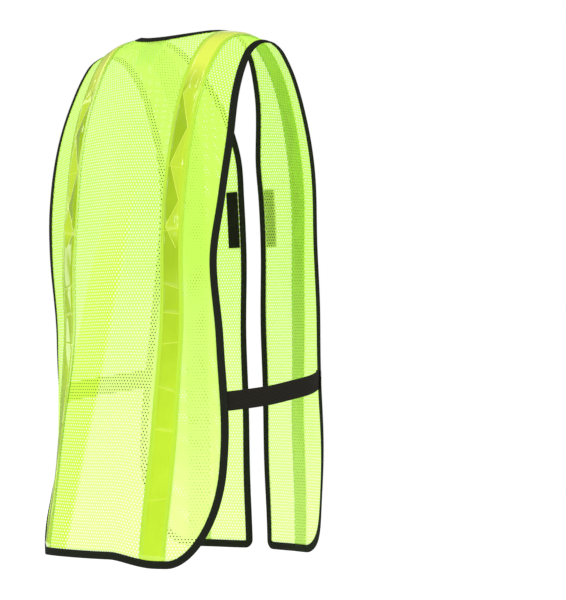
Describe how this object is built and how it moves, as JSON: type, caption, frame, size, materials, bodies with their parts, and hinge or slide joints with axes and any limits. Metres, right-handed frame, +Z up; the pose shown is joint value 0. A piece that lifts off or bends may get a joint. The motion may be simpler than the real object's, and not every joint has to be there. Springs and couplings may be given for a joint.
{
  "type": "high-visibility mesh vest",
  "caption": "Sleeveless mesh safety vest with bound edges, glossy strips over the shoulders, elastic side straps and two front panels that open.",
  "frame": {"origin": "midpoint between the neck ends of the two shoulder ridges, where the wearer's neck or a hanger carries the vest", "axes": "+Z up, the wearer faces -Y, +X is the wearer's left"},
  "size_m": [0.4004, 0.3041, 0.6879],
  "materials": {
    "mesh": "knitted fluorescent lime polyester mesh",
    "binding": "folded woven black polyester tape",
    "strip": "glossy lime PVC film",
    "elastic": "ribbed knitted black elastic",
    "hook_and_loop": "black hook and loop tape",
    "seam_tape": "woven lime twill tape",
    "label": "white satin ribbon"
  },
  "bodies": {
    "root": {"back_mesh_panel": "mesh", "neck_binding": "binding", "back_hem_binding": "binding", "care_label": "label", "left_yoke_mesh_panel": "mesh", "left_armhole_binding": "binding", "left_long_strip": "strip", "left_shoulder_seam_tape": "seam_tape", "left_side_strap": "elastic", "right_yoke_mesh_panel": "mesh", "right_armhole_binding": "binding", "right_long_strip": "strip", "right_shoulder_seam_tape": "seam_tape", "right_side_strap": "elastic"},
    "front_left": {"hook_patch": "hook_and_loop", "left_front_mesh_panel": "mesh", "left_front_strip": "strip", "left_front_edge_binding": "binding", "left_front_side_binding": "binding", "left_front_hem_binding": "binding"},
    "front_right": {"loop_patch": "hook_and_loop", "right_front_mesh_panel": "mesh", "right_front_strip": "strip", "right_front_edge_binding": "binding", "right_front_side_binding": "binding", "right_front_hem_binding": "binding"}
  },
  "joints": [
    {"name": "front_left_opens", "type": "hinge", "parent": "root", "child": "front_left", "pos_m": [0.172, -0.08, -0.455], "axis": [0, 0, 1], "range_deg": [0, 75]},
    {"name": "front_right_opens", "type": "hinge", "parent": "root", "child": "front_right", "pos_m": [-0.172, -0.08, -0.455], "axis": [0, 0, -1], "range_deg": [0, 75]}
  ]
}
